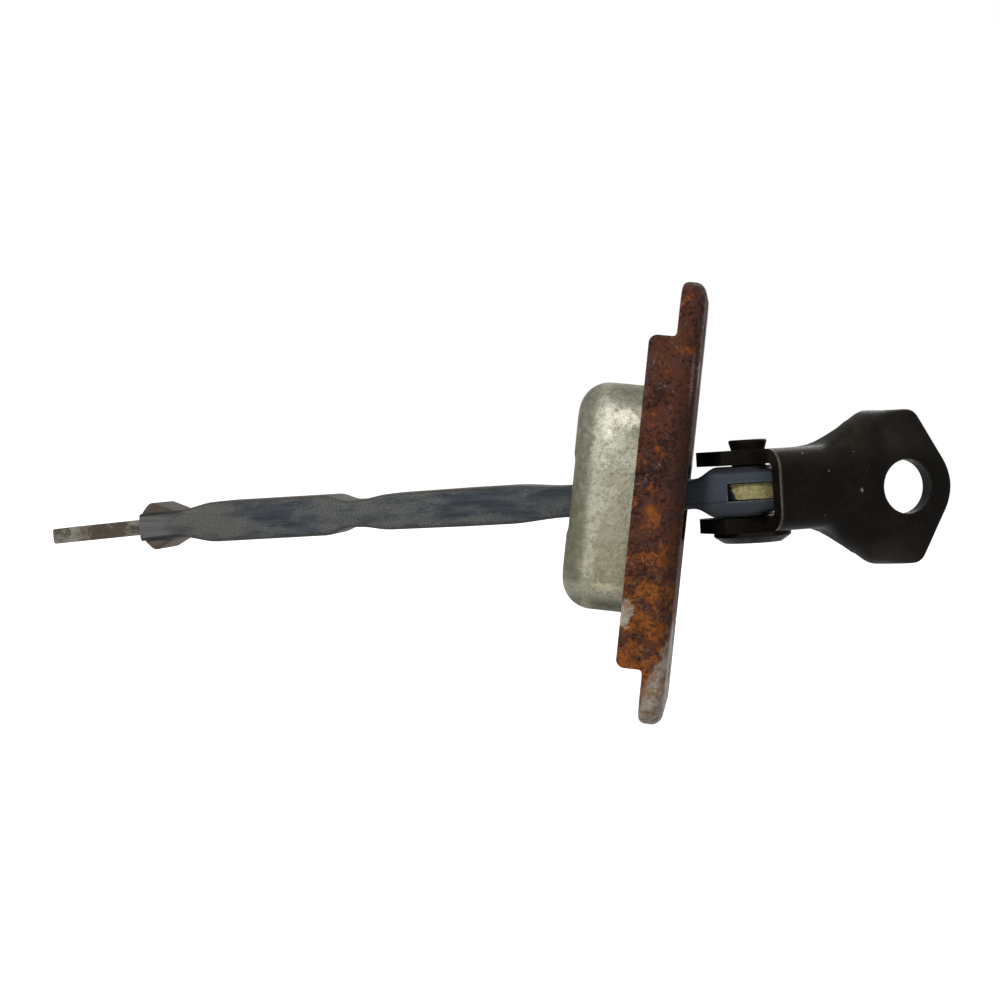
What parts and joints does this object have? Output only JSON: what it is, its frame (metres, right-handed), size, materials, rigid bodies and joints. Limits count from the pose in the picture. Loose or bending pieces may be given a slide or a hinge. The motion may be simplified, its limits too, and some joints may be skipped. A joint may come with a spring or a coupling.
{
  "type": "automotive door check link",
  "caption": "Door check link: a plastic-jacketed steel strap slides between sprung rollers in a drawn case on a mounting plate, and a pinned bracket ties it to the pillar.",
  "frame": {"origin": "centre of the mounting plate's outer face, between the two tapped holes", "axes": "+X out of the door face towards the pillar bracket, +Z along the plate and the door's hinge line, +Y across the plate, away from the bracket's web"},
  "size_m": [0.176, 0.035, 0.0838],
  "materials": {
    "rusty_steel": "pitted brown and orange rust over worn zinc",
    "zinc_plate": "dull zinc with a yellowish passivation, mottled",
    "black_rubber": "matt moulded rubber",
    "bright_steel": "greased ground steel",
    "nylon": "moulded nylon",
    "strap_steel": "zinc-plated bar, yellow where covered, stained at the bare tail",
    "jacket_plastic": "slate-blue moulded plastic, chalky and scuffed",
    "stopper_plastic": "olive-grey moulded plastic with a brown stain",
    "bronze_bush": "plain bearing bronze",
    "black_steel": "thin black-olive coating, brassy at worn edges"
  },
  "bodies": {
    "housing": {"mounting_plate": "rusty_steel", "case_cup": "zinc_plate", "case_rivets": "rusty_steel", "upper_rubber_spring": "black_rubber", "lower_rubber_spring": "black_rubber"},
    "spring_seats": {"upper_spring_seat": "bright_steel", "lower_spring_seat": "bright_steel"},
    "roller_carriers": {"upper_roller_carrier": "nylon", "lower_roller_carrier": "nylon", "upper_axle": "bright_steel", "lower_axle": "bright_steel"},
    "upper_roller": {"upper_roller": "bright_steel"},
    "lower_roller": {"lower_roller": "bright_steel"},
    "strap": {"strap_core": "strap_steel", "strap_jacket": "jacket_plastic", "end_stopper": "stopper_plastic", "eye_bush": "bronze_bush"},
    "bracket": {"pivot_bracket": "black_steel", "pivot_pin": "black_steel"}
  },
  "joints": [
    {"name": "strap_swing", "type": "hinge", "parent": "housing", "child": "spring_seats", "pos_m": [-0.01165, 0, 0], "axis": [0, 0, 1], "range_deg": [-7, 7]},
    {"name": "strap_rock", "type": "hinge", "parent": "spring_seats", "child": "roller_carriers", "pos_m": [-0.01165, 0, 0], "axis": [0, -1, 0], "range_deg": [-18.4, 0.2]},
    {"name": "upper_roller_spin", "type": "hinge", "parent": "roller_carriers", "child": "upper_roller", "pos_m": [-0.01275, 0, 0.00681], "axis": [0, 1, 0], "range_deg": [-1, 1812]},
    {"name": "lower_roller_spin", "type": "hinge", "parent": "roller_carriers", "child": "lower_roller", "pos_m": [-0.01055, 0, -0.00681], "axis": [0, 1, 0], "range_deg": [-1812, 1]},
    {"name": "strap_slide", "type": "slide", "parent": "roller_carriers", "child": "strap", "axis": [0.9871, 0, 0.1599], "range_m": [0, 0.0885]},
    {"name": "bracket_pivot", "type": "hinge", "parent": "strap", "child": "bracket", "pos_m": [0.01194, 0, 0.00382], "axis": [-0.1599, 0, 0.9871], "range_deg": [-36, 47]}
  ],
  "couplings": [
    {"joint": "upper_roller_spin", "follows": "strap_slide", "rad_per_m": 357.14},
    {"joint": "lower_roller_spin", "follows": "strap_slide", "rad_per_m": -357.14}
  ]
}
